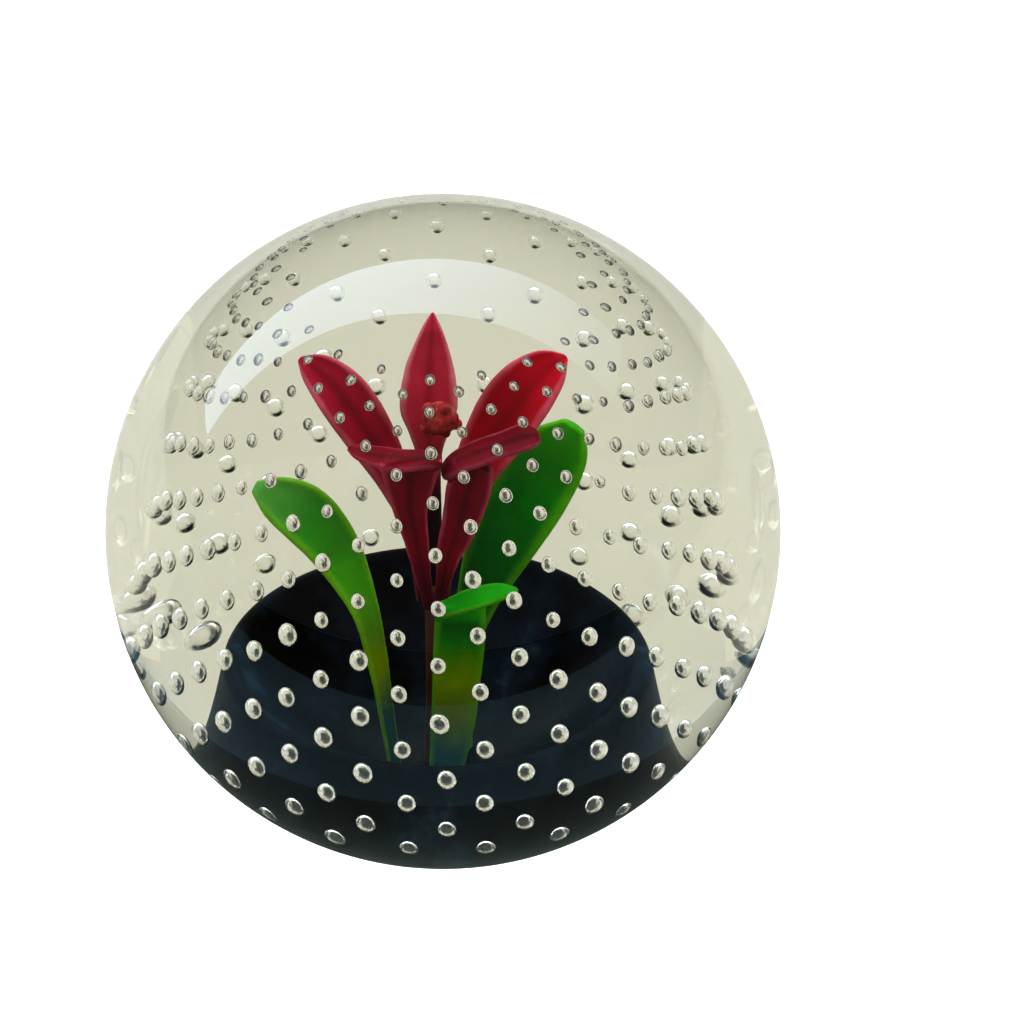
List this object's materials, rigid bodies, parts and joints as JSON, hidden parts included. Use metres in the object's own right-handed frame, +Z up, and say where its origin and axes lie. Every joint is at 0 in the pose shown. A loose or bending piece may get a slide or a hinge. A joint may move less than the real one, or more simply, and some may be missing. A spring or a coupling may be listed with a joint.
{
  "type": "paperweight",
  "caption": "Clear glass ball paperweight on a flat foot, with a crimson flower and green leaves on a black ground inside a net of air bubbles; it holds papers down.",
  "frame": {"origin": "centre of the flat foot's outline, in the plane it stands on", "axes": "+Z up through the ball, -Y towards the front of the flower, +X to the flower's right as seen from the front"},
  "size_m": [0.08, 0.08, 0.072],
  "materials": {
    "clear_glass": "polished clear soda-lime glass",
    "black_glass": "opaque black glass",
    "brown_glass": "opaque brown glass rod",
    "crimson_glass": "opaque crimson glass with paler edges",
    "coral_glass": "opaque coral glass",
    "green_glass": "opaque green glass with yellow-green edges"
  },
  "bodies": {
    "root": {"outer_casing": "clear_glass", "inner_gather": "clear_glass", "ground": "black_glass", "stem": "brown_glass", "petal_back_centre": "crimson_glass", "petal_back_left": "crimson_glass", "petal_back_right": "crimson_glass", "petal_front_left": "crimson_glass", "petal_front_right": "crimson_glass", "pistil": "coral_glass", "leaf_left": "green_glass", "leaf_right": "green_glass", "leaf_front": "green_glass"}
  },
  "joints": []
}
